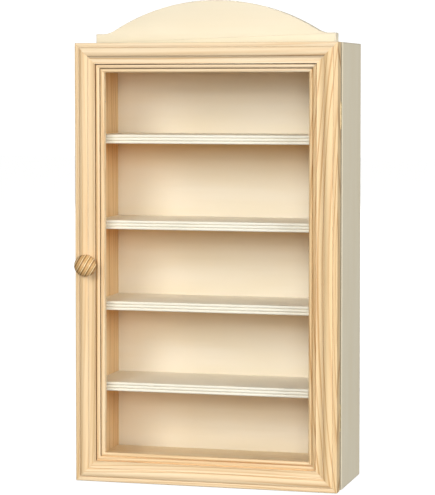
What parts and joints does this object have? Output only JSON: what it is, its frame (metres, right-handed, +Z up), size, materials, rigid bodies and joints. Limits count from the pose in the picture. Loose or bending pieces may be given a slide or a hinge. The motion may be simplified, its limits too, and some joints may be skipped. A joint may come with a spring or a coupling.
{
  "type": "thimble display case",
  "caption": "Small wall or table display case with shelves for thimbles behind a hinged, glazed pine door, with an arched crest board on top.",
  "frame": {"origin": "middle of the underside of the base board, between the sides and between the front edges and the wall side", "axes": "+X to the right seen from the front, +Y to the wall behind, +Z up"},
  "size_m": [0.165, 0.0821, 0.2974],
  "materials": {
    "painted_wood": "satin cream paint on wood",
    "pine": "clear satin lacquer on planed pine",
    "knob_wood": "turned pine, sanded and lacquered",
    "dowel_wood": "bare beech dowel",
    "glass": "clear float glass",
    "brass": "polished brass",
    "steel": "bright steel wire and sheet",
    "magnet": "nickel plated magnet"
  },
  "bodies": {
    "case": {"case_side_left": "painted_wood", "case_side_right": "painted_wood", "case_top": "pine", "case_bottom": "pine", "carcass_nails": "steel", "back_panel": "painted_wood", "back_panel_pins": "steel", "crest_board": "painted_wood", "crest_dowels": "dowel_wood", "shelf_1": "painted_wood", "shelf_2": "painted_wood", "shelf_3": "painted_wood", "shelf_4": "painted_wood", "hinge_upper_case_leaf": "brass", "hinge_upper_pin": "brass", "hinge_lower_case_leaf": "brass", "hinge_lower_pin": "brass", "hinge_screws_case": "brass", "catch_magnet": "magnet"},
    "door": {"door_stile_left": "pine", "door_stile_right": "pine", "door_rail_top": "pine", "door_rail_bottom": "pine", "mitre_v_nails": "steel", "glass_pane": "glass", "glazing_strip_left": "pine", "glazing_strip_right": "pine", "glazing_strip_top": "pine", "glazing_strip_bottom": "pine", "glazing_pins": "steel", "knob": "knob_wood", "knob_screw": "steel", "hinge_upper_door_leaf": "brass", "hinge_lower_door_leaf": "brass", "hinge_screws_door": "brass", "catch_strike": "steel"}
  },
  "joints": [
    {"name": "door_hinge", "type": "hinge", "parent": "case", "child": "door", "pos_m": [0.0814, -0.0291, 0.1355], "axis": [0, 0, 1], "range_deg": [0, 120]}
  ]
}
